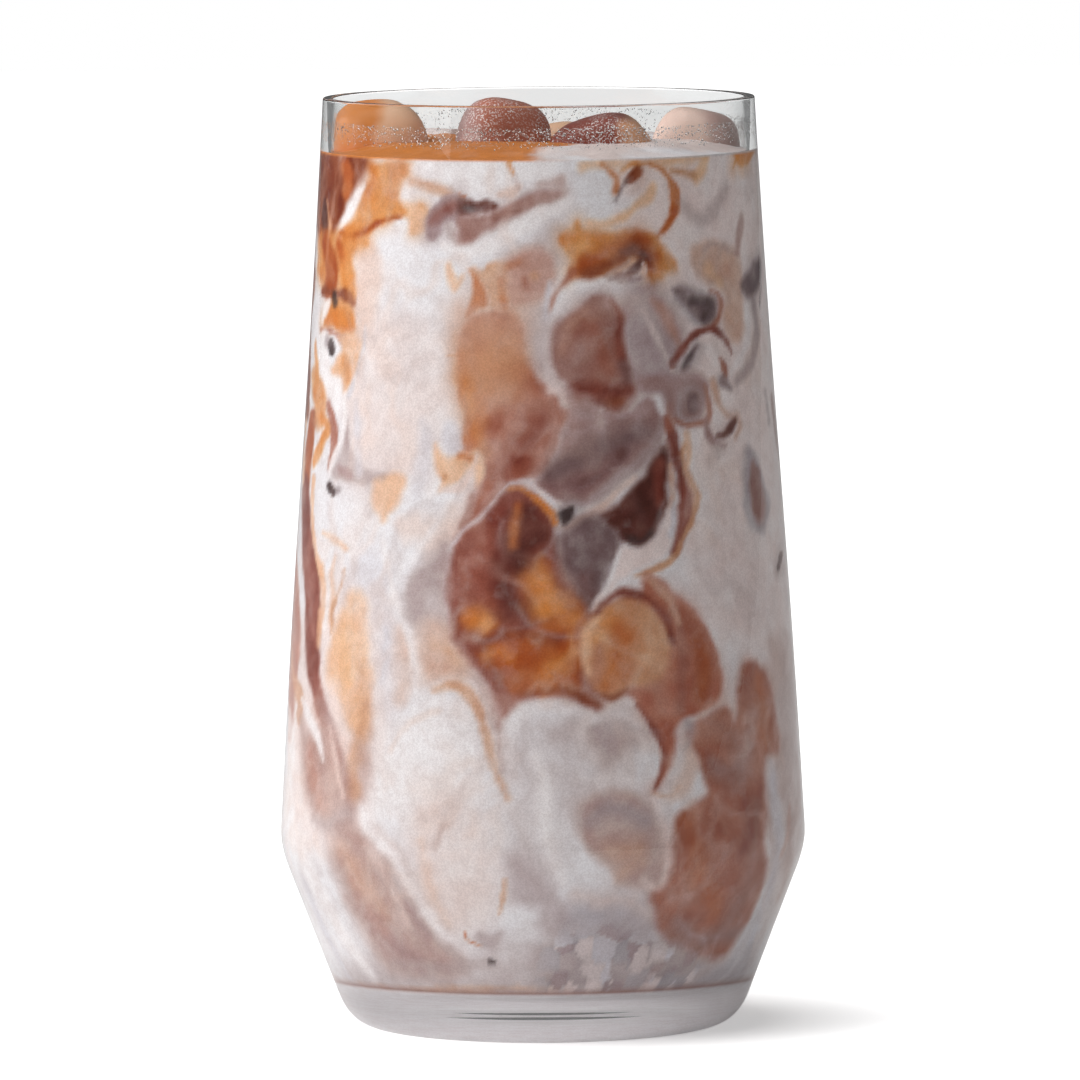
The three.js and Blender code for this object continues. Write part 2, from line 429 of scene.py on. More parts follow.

# The pours, in the order in which they lie. Each is a tone, the half width of its edge, how much it
# covers, and its points as the eye in front sees them: across and up for a patch, and for a stream a
# half width as well, which holds until the next one. Lengths are in tenths of a millimetre.
# painted highlight, the bright line along the top edge of a white lobe of milk
# painted highlight, the paler left rim of the round amber face
POURS = """
# wide washes: how much coffee the milk holds
stone 40 .9: 160 1400,360 1400,400 1000,420 600,400 540,300 580,240 700,240 880,240 1000,140 1180,140 1280
blush 30 .5: -300 1080,-200 1120,-150 1040,-140 900,-200 840,-300 880
petal 12 .75: -290 1240,-254 1225,-248 1160,-256 1110,-280 1070,-295 1120,-288 1180
blush 30 .6: -380 620,-300 700,-240 640,-200 580,-240 480,-260 360,-320 280,-400 340
ash 30 .28: -50 480,20 490,80 500,160 470,160 400,80 380,40 300,20 220,-40 240,-60 340
blush 30 .6: -220 360,-120 360,-80 260,-80 160,-160 140,-200 240
ash 30 .5: -300 100,-160 110,0 140,140 180,180 120,180 30,-300 30
haze 30 .6: 360 600,420 540,420 280,360 140,340 300,360 440
smoke 30 .3: 220 110,300 130,360 200,340 60,240 40,100 40,100 100
# the upper left: coffee running down inside the wall
amber 8 .95: -275 1365,-250 1360,-215 1355,-200 1345,-210 1330,-220 1310,-213 1295,-198 1290,-182 1288,
  -178 1270,-184 1252,-198 1248,-202 1265,-215 1272,-240 1263,-260 1253,-272 1240,-287 1228,-300 1226,-315 1248,
  -305 1260,-290 1270,-280 1300,-270 1325,-266 1345
tan 7 .75: -235 1360,-195 1356,-208 1335,-222 1310,-236 1325
peach 5 .85: -210 1293,-182 1286,-179 1266,-185 1250,-199 1249,-205 1270
umber 7 1: -344 1376,-320 1375,-290 1372,-270 1366,-273 1345,-280 1328,-293 1308,-303 1287,-310 1268,-320 1252,
  -335 1240,-346 1235,-348 1270,-346 1320
umber 10 .95: -342 1370 9,-330 1340 18,-330 1300,-334 1250 14
ginger 6 .8: -305 1355 5,-298 1335 9,-303 1313 6
amber 4 .8: -342 1374 3,-300 1377 4,-270 1373 3
peach 5 .7: -332 1293 2,-330 1273 3,-327 1258
plum 4 .9: -336 1290 4,-336 1275 7,-334 1263 5
rust 4 .9: -215 1273 1.5,-250 1266 4.5,-270 1252 5,-295 1241,-310 1244 6
cream 4 .95: -273 1323 1.5,-283 1308 5,-293 1288 6.5,-305 1267 4,-314 1252 1
amber 8 .9: -346 1243,-325 1248,-305 1243,-275 1238,-270 1229,-290 1222,-293 1200,-288 1175,-288 1152,-291 1130,
  -290 1110,-293 1093,-310 1092,-330 1098,-342 1105,-338 1120,-330 1140,-337 1160,-349 1180,-347 1210
rust 7 .85: -335 1235 7,-330 1210 9,-326 1185,-330 1160
ginger 6 .8: -315 1230 5,-310 1210
honey 6 .85: -308 1195 5,-302 1175 9,-300 1160 5
umber 5 .9: -340 1155 8,-320 1153 6,-300 1148 8,-292 1139 5
jet 4 .8: -322 1146 4.5,-321 1138 5
cream 4 .9: -330 1138 3,-336 1125 5,-340 1110 3
honey 8 .7: -325 1120 8,-310 1110 11,-310 1098 5
cocoa 4 .85: -343 1096 3,-325 1090 4,-310 1080 6,-296 1071,-288 1073 2
peach 7 .95: -315 1085,-282 1080,-278 1060,-283 1040,-295 1010,-305 993,-313 1008,-330 1030,-323 1045,-310 1063
amber 7 .55: -306 1040 8,-303 1015 6
cream 5 .95: -338 1080 6,-340 1055 7,-335 1020 9,-326 995 8
slate 5 .5: -335 1076 5,-329 1067 6
jet 3 .9: -329 1072 4.5,-327 1065 5
lavender 4 .8: -274 1100 2,-276 1070 3,-284 1040 2.5,-293 1010 3,-300 990
honey 4 .8: -352 1070 3,-350 1030 4,-353 1000
umber 5 .95: -348 1360 3,-351 1240 5,-354 1165 6,-359 1108 5,-362 1049 7,-366 980 10
# the upper middle: the pale lens of ice and the brown bands under it
tan 7 .8: -200 1328 6,-175 1320 8,-150 1312,-135 1306 5
cream 8 .8: -202 1345,-185 1358,-140 1362,-80 1359,-46 1359,-10 1366,10 1380,30 1384,30 1330,0 1325,-35 1315,
  -55 1304,-90 1304,-120 1310,-150 1323,-180 1330
petal 6 .8: -63 1307 3,-43 1309 7,-33 1315 5
haze 6 .7: 0 1320 5,30 1325 8
amber 3 .85: -49 1361 3,-44 1349 2.5,-39 1338 2
haze 4 .5: -38 1335 2,-34 1318 4
fog 5 .95: -179 1270,-172 1282,-158 1293,-150 1303,-125 1304,-125 1255,-135 1262,-148 1258,-158 1243,-166 1234,
  -176 1239,-179 1253
chestnut 8 .7: -170 1264 5,-154 1280 8,-134 1288 9
plum 5 .95: -127 1304,-105 1298,-80 1297,-66 1291,-68 1284,-83 1280,-97 1276,-115 1272,-128 1273
jet 4 .8: -116 1285 5,-107 1283 4
rust 3 .8: -127 1308 2,-118 1304
ash 5 .85: -145 1260 5,-138 1246 7
mauve 7 .95: -129 1265,-115 1270,-95 1272,-75 1279,-45 1290,-15 1304,5 1310,35 1312,35 1300,5 1292,-22 1280,
  -50 1266,-80 1248,-100 1235,-120 1230,-130 1236
haze 8 .6: -40 1282 5,0 1299 6,34 1307
cream 6 .9: -150 1228 6,-120 1216 8,-80 1223 10,-40 1246 12,0 1270,40 1290 8
ash 15 .45: -60 1210,-20 1230,20 1260,40 1240,30 1200,-10 1195
tan 5 .9: -105 1188,-90 1186,-80 1198,-55 1199,-36 1202,-32 1196,-48 1186,-50 1160,-48 1130,-60 1123,-78 1129,
  -84 1150
ginger 5 .95: -112 1190,-105 1183,-93 1166,-85 1140,-86 1128,-98 1124,-112 1112,-116 1116,-110 1132,-106 1150,
  -106 1170
ginger 4 .8: -63 1170 4,-60 1145 5,-56 1128 3
ginger 3 .7: -46 1192 5,-34 1198 3
peach 5 .85: -142 1195 3,-138 1175 6,-132 1160,-123 1175 3
rose 10 .75: -48 1203,-10 1218,20 1210,28 1180,15 1150,0 1133,-30 1130,-48 1134
cocoa 5 .7: -24 1172 4,-20 1155 5
tan 6 .6: -8 1176 7
tan 10 .7: -110 1110,-50 1118,-32 1105,-30 1060,-20 1035,-20 1000,-125 1000,-132 1030,-110 1070
cocoa 4 .85: -34 1090 4,-32 1060 5,-26 1030 6
tan 3 .7: -145 1053 1.5,-125 1055 2,-110 1062
ash 10 .6: -28 1110,0 1125,16 1100,8 1060,10 1020,-15 1020,-26 1060
# the upper right: thin amber round a dark drop, the hook, and the amber cloud
ochre 9 .75: 70 1350 6,100 1352,130 1354 5,170 1358 7,210 1360 11,245 1368 9,260 1364 8
ochre 6 .8: 260 1365 5,255 1345 7,245 1330
amber 4 .85: 245 1372 4,280 1376 3.5,310 1378 3
tan 4 .9: 208 1342 3,223 1340 5,242 1332 6
honey 4 .95: 307 1375,338 1378,335 1363,326 1349,317 1344,308 1352,303 1344,306 1360
ginger 5 .85: 98 1350 4,110 1342,120 1330 5,120 1313
amber 4 .8: 130 1342 3,140 1350,155 1352,175 1350
umber 3 1: 133 1325,140 1339,150 1346,158 1347,163 1339,155 1328,143 1320
slate 4 .7: 136 1326 3.5,128 1313 3,120 1296 2.5
stone 8 .9: 170 1335 8,185 1320 10,190 1295 9,183 1270,155 1265 12,125 1270 8
ochre 6 .75: 178 1315 5,170 1298 8,153 1286 5,135 1270,105 1260,80 1258 6
ginger 4 .95: 175 1351 1.5,190 1345 3,203 1330 5,212 1310 8,213 1288,208 1268 6.5,200 1252 4.5,188 1240 3.5,
  180 1233 3
amber 7 .95: 34 1240,52 1248,60 1262,70 1250,90 1247,120 1246,150 1249,176 1239,192 1224,202 1212,212 1195,
  208 1182,195 1178,184 1164,172 1159,169 1175,166 1195,154 1202,135 1196,120 1186,108 1180,85 1176,65 1176,
  50 1169,44 1180,48 1200,40 1218,33 1228
rust 12 .95: 52 1182 7,70 1192 14,95 1200 16,118 1210 18,140 1226 15,165 1224 13,178 1205 10,174 1180 4
umber 8 .95: 70 1180 5,95 1184 8,120 1199 10,143 1217 12,163 1212 10,172 1193 6
plum 6 .85: 130 1216 7,150 1219 9,163 1208 5
tan 6 .7: 42 1235 5,50 1215,52 1195 4
tan 6 .7: 195 1218 5,202 1195 6,210 1185 5
plum 5 .95: 122 1176 5,135 1179 8,150 1188,158 1197 4
fog 4 .8: 110 1170 3,130 1168,155 1170 4
ash 3 .7: 103 1173 2,120 1186,138 1198
stone 4 .9: 162 1195 2.5,166 1178 3.5,168 1163 3,174 1156 2
cocoa 5 .8: 52 1182 6,42 1168 5,30 1154 4,22 1138 3,16 1120 2
lavender 4 .7: 15 1165 3,12 1140 4,8 1115
cream 5 .7: 30 1125 3,55 1158 5,90 1165,110 1158 3
# the face of ice in the middle, and the slate smudges to its right
fog 15 .7: 135 1160,180 1165,200 1140,220 1095,225 1050,200 1010,160 1000,140 1060
rose 8 .75: 175 1135 5,195 1115 9,205 1095 10,215 1075 6
stone 5 .7: 160 1120 3,180 1085 4,195 1055 3,205 1030
mauve 7 .95: 22 1095,40 1115,65 1130,85 1146,105 1146,122 1134,130 1118,129 1085,132 1050,142 1020,148 1000,
  147 988,138 968,125 955,105 960,90 970,70 978,52 980,40 1005,27 1020,18 1050
chestnut 6 .8: 115 1135 4,126 1110 5,122 1080 7,126 1050 6
chestnut 10 .85: 50 1005 5,80 995 10,110 986 14,134 998 10
umber 8 .7: 105 976 6,125 978 9
cocoa 20 .6: 50 1080 10,80 1100 20,100 1040
fawn 8 .4: 34 1060 6,44 1096 8,70 1118 7
dusk 8 .7: 128 1035 8,136 1015 7
slate 9 .9: 206 1153,230 1155,250 1146,265 1148,276 1132,274 1108,262 1099,246 1103,232 1118,218 1134
jet 7 .7: 236 1136 6,264 1129 7,256 1108 5
cocoa 4 .9: 266 1152 3,278 1146 3.5,283 1130 4,279 1110,272 1099
lavender 6 .5: 225 1120 5,238 1104,248 1098 4
chestnut 4 .95: 206 1038 5,216 1052 6,230 1070,248 1084 5,268 1092 6,283 1084 5.5,294 1070 4,300 1054 1.5
slate 5 .95: 219 1026,228 1026,238 1042,250 1066,240 1064,228 1048
jet 3 .7: 225 1033 3,236 1052
stone 6 .9: 253 1076 4,270 1072 5,286 1056,289 1030 4
cocoa 4 .85: 283 1044 4,288 1030 5.5,289 1022 3
fawn 9 .8: 240 1220,275 1230,305 1215,315 1180,318 1130,319 1090,306 1075,295 1082,287 1110,288 1140,276 1160,
  255 1165,238 1185
ochre 7 .55: 265 1185 9,280 1165 6
haze 5 .8: 256 1216 3,272 1225 3.5,292 1216 3,310 1210
haze 5 .8: 317 1265 4,313 1240 5,310 1215 4
slate 8 .95: 315 1165,326 1183,336 1198,346 1200,346 1175,340 1150,330 1140,318 1150
slate 4 .6: 347 1160 2,345 1132 1.5
ash 10 .55: 225 1290 10,250 1265 13,280 1285 10,290 1310 6
slate 7 .45: 335 1130 4,340 1095 5,336 1060 6,326 1032,310 1012 5
cream 6 .6: 323 1125 4,326 1085,315 1050 5,300 1025 4
# the middle: the brown column of ice and the grey-violet face beside it
cocoa 7 .95: -112 1108,-128 1060,-126 1020,-129 990,-120 960,-121 925,-120 900,-105 896,-92 890,-86 870,-92 852,
  -102 830,-112 810,-125 785,-133 760,-120 768,-103 790,-85 810,-68 830,-50 846,-35 853,-10 862,7 873,22 895,
  27 915,33 933,43 948,46 962,30 975,26 990,10 1005,-8 1020,-22 1050,-30 1080,-36 1114,-60 1120,-90 1114
fawn 35 .8: -130 1130,-30 1130,-20 1060,-126 1060
tan 30 .75: -125 1075,-40 1075,-26 1010,-60 980,-126 980
chestnut 16 .6: -60 866 8,-36 886 18,-14 916 20,6 956 14
amber 16 .6: -114 1010 10,-106 970 14,-100 930,-90 900 10
ginger 6 .8: -113 920 7,-105 906 8,-118 890 4
tan 10 .5: -85 995 8,-93 1028
mauve 4 .9: -106 830 5,-115 805 6,-126 785 4
taupe 8 .95: 35 1000,50 980,70 976,95 965,125 953,140 963,155 980,170 985,183 960,188 940,183 915,165 890,
  145 875,120 855,100 838,80 824,65 820,50 820,30 819,15 823,0 833,-12 846,0 860,15 880,26 905,30 925,40 940,
  46 960
pewter 16 .8: 10 860 8,40 880 22,85 900 24,130 920 20,164 930 12
dusk 10 .85: 10 845 8,40 845 12,70 850 13,100 870 10,125 895
ash 10 .5: 60 960 10,90 945 12,50 925 9
stone 6 .7: 15 995 8,30 998 6,38 980 4
ash 8 .9: 188 945 3,180 920 5,165 896 8,142 873 10,120 856 9,100 838 8,83 827 7
petal 5 .85: 145 858 4,120 836 5,100 818 6,80 803 8,60 793 6,40 779 5,26 780 4,18 790,18 805
stone 4 .95: -15 852 4,0 838 5,15 826 4,30 820 2.5
tan 4 .8: 0 826 4,16 813,24 800 3
jet 3 1: 26 803,31 810,40 813,52 815,54 806,49 794,41 786,35 785,29 792
plum 6 1: 93 800,105 808,125 820,145 840,160 858,172 878,184 900,195 910,199 890,196 860,195 835,198 815,
  190 793,180 773,170 756,152 752,138 756,125 763,115 775,100 787
chestnut 6 .85: 185 880 7,182 850 8,184 820 7
jet 5 .6: 135 764 4,155 757 5,170 768 4
pewter 8 .95: 20 765,40 773,60 790,80 800,100 793,120 775,124 758,120 742,110 725,106 708,98 690,90 670,80 653,
  68 650,55 660,40 675,30 695,22 720,18 745
dusk 10 .8: 70 700 8,76 675
ash 6 .5: 28 750 5,32 715,44 685 4
stone 7 .9: 126 748,150 748,170 754,188 780,198 812,206 800,205 765,195 740,170 720,145 710,120 698,110 684,
  107 700,116 726
cream 3.5 .9: 125 745 3,113 710 3.5,104 688,90 665,78 646 3,65 633 2
chestnut 6 .95: 195 950 5,203 925 8,210 900 9,215 875,220 850 10,227 826 12,227 803 13,223 780 10,216 758 8,
  210 740 5
cocoa 5 .7: 202 970 6,200 940 7
tan 3.5 .9: 223 910 3,220 890 3.5,226 870 4,234 850 5,242 830 6,243 813 5,239 793 4,230 775,222 758,214 740 4.5,
  202 726 5,185 716,168 710 3.5,150 705 1.5
peach 4 .8: 226 925 5,230 900,229 880 3
fawn 3 .8: 200 880 2.5,202 855 3.5,205 833,203 815 2.5
lavender 4 .8: 206 820 3,210 790 4,205 770 5
taupe 10 .85: 155 1020,250 1020,260 980,250 945,228 940,215 935,198 960,188 985,170 990,153 995
ash 4 .9: 218 985 4,216 960,225 947 3.5,245 950 3
pewter 4 .95: 232 990,246 990,248 970,240 958,231 964
cocoa 4 .7: 208 948 3,225 940 3.5,245 941 4,263 950,263 975,258 1000 3
taupe 5 .85: 260 945 5,263 925 6,275 912 5,287 909 4
fawn 5 .8: 270 1010 4,278 975,293 956,308 953,312 936 3.5,306 922 3
plum 4 .9: 278 923 3,286 926 5,296 936 6,303 946 4
pewter 7 .7: 285 1010 8,295 1000 5
ash 10 .5: 264 884 7,278 902 8
smoke 9 .9: 320 900,334 900,348 860,358 820,356 790,343 770,329 780,320 810,317 850
mauve 7 .75: 330 883,338 880,349 840,353 805,347 787,337 790,329 820,327 850
mauve 5 .8: 363 980 4,369 930 5,376 870,381 810 3
ash 5 .7: 353 990 3,358 950
plum 2.5 .95: 370 713,373 710,377 725,379 738,375 738,371 724
stone 15 .5: 235 740 12,250 680 15,280 630
ash 20 .15: 280 880,340 740,370 660,330 620,270 660,260 760
# the middle left: rust down the wall, folds of milk, and the amber oval
rust 5 .9: -358 950 8,-365 900 9,-368 860 8
chestnut 6 .95: -370 840 9,-369 780,-366 740 11,-362 700 13,-360 660,-361 620,-360 580 12,-357 540 10,-347 500 9
peach 3 .9: -368 950 3,-372 900,-373 860
clay 8 .9: -376 920 5,-382 840 7,-386 760 11,-388 680 14,-390 600 15,-394 530 11,-396 460 5
peach 3 .85: -357 860 2.5,-359 820,-358 780,-353 740 3,-347 710 4
amber 8 .75: -356 1020 7,-346 986 10,-346 960 8
honey 5 .9: -345 955 5,-333 940 6,-342 920,-350 900,-356 885 4
cocoa 4 .9: -332 975 4,-326 950 6,-323 927,-326 900,-332 882 3
cream 4 .95: -340 1020,-315 1020,-310 1000,-312 970,-313 950,-323 970,-332 995
ash 5 .75: -330 870,-318 890,-308 915,-303 950,-298 910,-275 875,-245 870,-238 855,-270 852,-300 854,-320 860
taupe 6 .6: -315 873 6,-300 866
cream 3 .9: -306 990 2,-307 950 2.5,-312 925 3,-322 900,-330 880 3.5,-331 868 2
lavender 6 .6: -288 980 5,-286 880 6
lavender 10 .6: -188 950,-170 930,-167 900,-173 870,-183 840,-198 825,-205 850,-200 880,-193 910
lavender 8 .7: -152 950,-138 953,-125 938,-122 913,-126 897,-146 898,-156 920
cream 5 .9: -175 830 5,-165 846 6,-158 860 3
peach 6 .95: -166 915,-153 896,-135 894,-122 899,-108 896,-100 900,-90 888,-87 870,-93 853,-99 845,-102 860,
  -110 868,-125 858,-140 850,-160 838,-157 856,-164 874
ginger 4 .7: -125 893 4,-110 889
tan 5 .7: -150 863 5
blush 5 .9: -155 842 5,-135 842 7,-120 852 8,-108 866 6,-102 880 4,-100 892 2
peach 7.5 .9: -263 855,-250 860,-230 870,-216 864,-212 853,-220 835,-226 815,-238 805,-246 790,-252 802,
  -264 815,-267 835
slate 5 .5: -324 842 7,-318 841 5
jet 2.5 .95: -332 848 5,-327 840
peach 4 .8: -343 775 2,-325 764 5,-313 754 4,-303 745 1.5
peach 5 .8: -346 720 5,-343 680,-346 640,-350 600 4
peach 5 .6: -324 735 2,-330 705 2.5,-328 675 4,-333 640
tan 3 .7: -310 715 2,-315 690 3,-328 655,-330 620 2
cream 3 .8: -337 710 3,-336 670,-340 630
lavender 20 .55: -300 720,-250 740,-240 660,-220 560,-240 490,-265 520,-270 620
fawn 14 .55: -224 620 6,-214 570 10,-224 520 8
lavender 6 .6: -244 660 3,-244 600 5,-250 540 4
peach 12 .95: -335 580,-328 620,-310 664,-290 684,-276 670,-272 620,-268 570,-269 516,-274 470,-286 446,
  -304 466,-322 510,-336 546
ochre 12 .6: -306 610 12,-304 560
tan 12 .65: -284 570 7,-280 520 11,-280 470 10,-282 420 6
cream 5 .85: -248 760 4,-240 720 5,-235 690,-223 660 6,-208 625 7,-198 580 6,-197 520 5
petal 12 .6: -230 790,-200 803,-160 800,-140 820,-126 800,-133 770,-150 750,-180 730,-196 760,-218 763
ash 14 .85: -200 720,-170 743,-152 760,-140 730,-144 690,-150 660,-146 630,-170 620,-190 615,-207 645,-220 680
fawn 16 .8: -190 620,-150 630,-120 580,-114 546,-150 536,-186 540
tan 9 .5: -166 600 6,-136 580 9,-124 550 6
cream 5 .75: -205 723 2,-186 756 3.5,-164 788,-140 825 3
# the dark arch over the glowing amber in the middle
chestnut 8 .95: -138 750,-126 774,-104 796,-80 818,-60 836,-35 846,0 826,17 800,19 760,23 730,40 690,64 661,
  76 646,100 656,126 670,150 672,170 662,150 600,120 540,130 522,120 516,100 510,86 496,65 503,44 514,10 516,
  -20 512,-43 502,-56 484,-64 480,-70 494,-79 524,-96 548,-112 570,-128 594,-140 620,-144 660,-144 710
rose 10 .45: -128 730 6,-118 700 10,-122 660 8
clay 16 .35: -90 770 10,-96 730 14,-90 680
plum 9 .9: -30 825,-10 815,5 800,10 775,0 755,-20 740,-26 715,-40 710,-55 750,-50 790
plum 18 .65: -50 760 10,-60 700 16,-50 660,-20 650 14
ginger 7 .85: -37 815 6,-40 785 8,-46 758 7
amber 4 .9: -50 843 3,-30 843 4,-14 833 5,3 820,15 805 4,20 790 3
rust 8 .95: -105 580,-70 600,-30 614,0 624,40 646,60 634,64 590,60 550,50 524,10 520,-30 517,-50 524,-70 550
mauve 10 .75: -126 606 6,-100 608 7,-86 570 8,-70 544,-60 504 6
umber 9 .75: -86 602 4,-50 612 6,-10 610 7,20 604 6,50 614 4
amber 10 .95: -125 638,-113 648,-90 647,-77 635,-72 622,-87 613,-107 623,-118 627
amber 17 .95: -30 690,-20 708,-5 723,13 710,25 680,40 668,53 650,58 630,44 626,16 630,-10 646
amber 12 .8: -86 578 8,-66 582 9,-50 574 7
amber 14 .8: 6 550 10,30 570 13,48 580 9
honey 8 .8: 46 610 4,50 586 5
honey 9 .7: -5 706 6,14 670 10
umber 7 .8: -30 519 3,6 522 4,44 526 5,68 510 7,86 502 4
lavender 4 .8: -145 746 1.5,-130 768 3,-115 784 3.5,-100 795 3,-83 814,-65 834,-50 849 2.5,-30 854 3,-13 853,
  -7 843,5 830,20 820
# the round amber face, and the brown crescent with its tail
clay 6 .95: 160 704,185 696,210 676,240 650,260 620,273 586,282 550,283 520,274 500,260 490,240 485,220 475,
  208 460,207 440,205 420,198 400,190 385,180 370,175 364,184 394,187 415,185 435,177 455,165 475,150 495,
  140 510,129 520,160 560,160 640
fawn 6 .7: 160 700 3,184 688 5,204 668 6
cocoa 8 .8: 206 646 9,228 636 14,246 600 18,256 556,246 514 14
rust 10 .5: 244 600 8,256 550 10,250 516 8
mauve 8 .5: 216 620 6,222 570 8,218 520,216 490 5
rose 10 .6: 150 530 10,174 534 12,184 506 8
chestnut 4 .8: 148 500 3,166 478 3.5,180 454 4,190 426,188 400 3.5,178 370 2
tan 7 .98: 63 580,66 616,76 638,96 656,120 666,146 668,170 656,190 634,202 606,200 576,188 550,166 536,140 532,
  126 522,110 512,94 516,78 534,66 556
ginger 16 .75: 114 630 12,134 596 16,126 560 18,106 534 9
rust 14 .6: 118 586 9,126 550 12,106 526 5
tan 14 .6: 150 636 14,180 610 10
honey 15 .6: 86 605 7,104 640 8
peach 8 .9: 72 556 7,69 586 8,74 616 7,88 636 5
peach 10 .45: 158 576 8,182 580 10,192 570 6
rose 7 .5: 84 538 7,90 560 9,90 590 6
haze 5 .6: 82 518 4,96 508
chestnut 5 .85: 86 648 3,100 663 4.5,120 676 5,145 678,168 667,185 650 6,197 630 5,206 600 4
umber 5 .85: 92 515 3,110 512 3.5,128 523 3
fawn 3 .8: 173 692 3,190 676 4,205 656,216 630
tan 3 .6: 174 362 2,186 356 2.5,206 356,214 368 2
# the lower left: brown smears between white folds
tan 4 .75: -393 620 3,-392 560 3.5,-386 530 6,-379 510 5,-382 486
taupe 8 .9: -347 500 9,-334 466 10,-320 420,-309 380 8,-306 340 5
blush 10 .8: -328 530 7,-316 470 9,-300 430 6
rose 20 .5: -354 500 6,-340 450 14,-326 400 20,-310 350 16
haze 15 .92: -380 480,-366 456,-342 460,-336 420,-316 380,-306 340,-316 316,-340 320,-366 336,-376 380
haze 12 .6: -296 440,-280 446,-266 400,-274 340,-294 336,-302 380
clay 12 .4: -366 430 8,-358 380 11,-350 346 9
blush 5 .7: -334 470 2,-328 430 4,-320 390,-314 360 2
tan 10 .6: -286 460 6,-296 420 9,-296 370
ash 12 .7: -360 320 7,-336 314 13,-310 326 12
cream 5 .85: -377 514 3,-366 484 5,-354 454,-346 420 3
cream 8 .7: -397 490 5,-394 440 6,-398 380,-404 330 7
cream 16 .8: -244 440,-216 486,-176 514,-156 516,-130 498,-104 480,-92 444,-90 400,-140 364,-220 340,-264 330,
  -274 366,-254 400
petal 4 .45: -236 430 4,-220 462 5,-190 484,-166 492 4
tan 5 .85: -172 523 3,-148 534 6,-126 530 8,-110 515 9,-97 493 8,-87 460 7,-78 420 6,-68 386 5,-56 356 3
haze 8 .6: -126 556 6,-100 540 8,-80 506,-72 470 5
mauve 5 .6: -68 476 3.5,-67 436,-63 400 2.5
haze 18 .95: -330 296,-290 310,-250 290,-216 234,-174 164,-130 104,-140 84,-190 78,-244 90,-280 140,-310 200
fawn 16 .8: -320 270 5,-300 250 14,-280 214 16,-264 180 12
taupe 18 .85: -290 200 8,-266 160 16,-236 124 18,-206 104 10
rose 14 .45: -300 234 6,-276 184 10,-250 146 8
ash 12 .7: -260 270 5,-236 236 9,-204 176 14,-170 134,-136 106 8
blush 7 .6: -280 284 2,-254 244 5,-230 200,-214 160 3
haze 5 .7: -250 246 2,-224 196 4,-196 150 5,-160 114 3
taupe 8 .5: -216 186 5,-186 144 6
ash 8 .7: -240 96 6,-160 92 9,-80 96 7
cream 9 .9: -286 340 9,-270 300 10,-240 264 6,-214 224 8,-190 186 9,-164 150,-126 118 8
petal 8 .8: -192 286 3,-188 250 6,-178 216 8,-164 184 6,-150 160 3
cream 12 .85: -396 310 12,-374 250,-344 196 13,-312 140 12,-280 90 10
lavender 8 .75: -374 220 6,-352 166 7,-330 120 6,-316 86 4
fog 14 .5: -54 256,-26 250,10 216,36 186,30 146,0 146,-16 180,-46 200
tan 3 .7: -62 230 2,-63 204 3,-69 176 2.5
ginger 2 .8: -122 144 2.5,-116 132 1.5,-100 124 1.2
fog 8 .5: -96 140 8,-80 128 10,-66 144 5
jet 2 .8: -84 100 2.5,-78 98
mauve 2 .7: -48 164 1.5,-46 156
tan 5 .6: -300 70 2,-240 60 3.5,-150 56 4,-60 55 3,40 54
haze 6 .5: -145 310 3,-160 306,-176 274
# the lower right: the violet round of ice, the brown depth and the foam
ash 14 .6: 10 460,30 474,50 470,36 446,16 444
ash 10 .85: 76 460,110 472,146 460,152 440,126 426,104 408,90 430
cream 10 .6: -52 420 4,-50 460 6,-30 490 7,10 502 6,50 492 5,74 476
cream 8 .6: 154 450 5,164 416 6,162 380,120 386 8,60 386
cream 10 .9: -10 420 8,2 380 10,0 330 11,6 286 10,20 246 8,44 206 6,70 186
haze 10 .9: 54 326,70 354,100 365,140 360,170 340,186 310,195 280,200 250,190 220,176 194,160 206,135 218,
  120 220,105 235,85 260,60 290
smoke 16 .6: 74 320 10,100 336 14,134 334,160 316 10
fawn 14 .7: 108 270 10,134 266 14,160 270 10,124 236 6
stone 8 .85: 176 350 3,188 320 6,196 280 7,196 240,184 210 5,160 226 4
cocoa 9 .97: 315 560,330 570,350 550,363 510,370 460,370 425,355 417,348 405,348 360,350 310,356 280,350 230,
  335 190,315 150,290 115,260 102,250 99,235 112,220 122,200 130,185 140,173 160,170 190,175 206,195 220,
  207 250,208 290,215 330,230 340,255 360,250 390,240 420,227 450,236 474,265 488,290 494,302 476,310 520
mauve 16 .6: 270 470 8,296 446 10,316 400 14,300 380 12,266 400 10
fog 16 .55: 266 410 8,290 396 12,320 416 10,324 450 7
rose 12 .5: 254 464 6,270 450 8
ginger 16 .4: 340 530 7,350 480 9,354 444 7
ginger 20 .45: 230 314 8,244 270 12,254 220 14,270 184 10
mauve 20 .7: 336 340 6,334 270 9,320 210 13,290 156 18,250 126 14,200 146 12
fog 14 .6: 214 166 6,240 136 8,306 144 10
rose 6 .5: 266 360 4,280 330 5,288 300 4
chestnut 10 .5: 316 340 5,326 306 6,316 266 5
petal 10 .7: 200 350 8,224 374 12,234 410 10,224 434 6
smoke 10 .7: 224 472 5,234 456 6,226 434 5
lavender 10 .8: 360 406 7,366 350 8,372 300 7,368 250 5,356 200 6,334 146 7
haze 8 .8: 398 420 4,404 350 6,396 290 5,386 240 6,374 206 5
rose 4 .6: 388 336 2,386 300 2.5,378 266 2
smoke 20 .75: 40 200,80 214,120 200,164 190,174 150,200 120,236 108,256 88,300 100,330 120,310 56,220 46,40 46,
  30 120
blush 14 .6: 50 206 8,90 196 9,130 194 8,160 176 7
mauve 5 .75: 166 70 5,176 84 6,188 94 4
"""


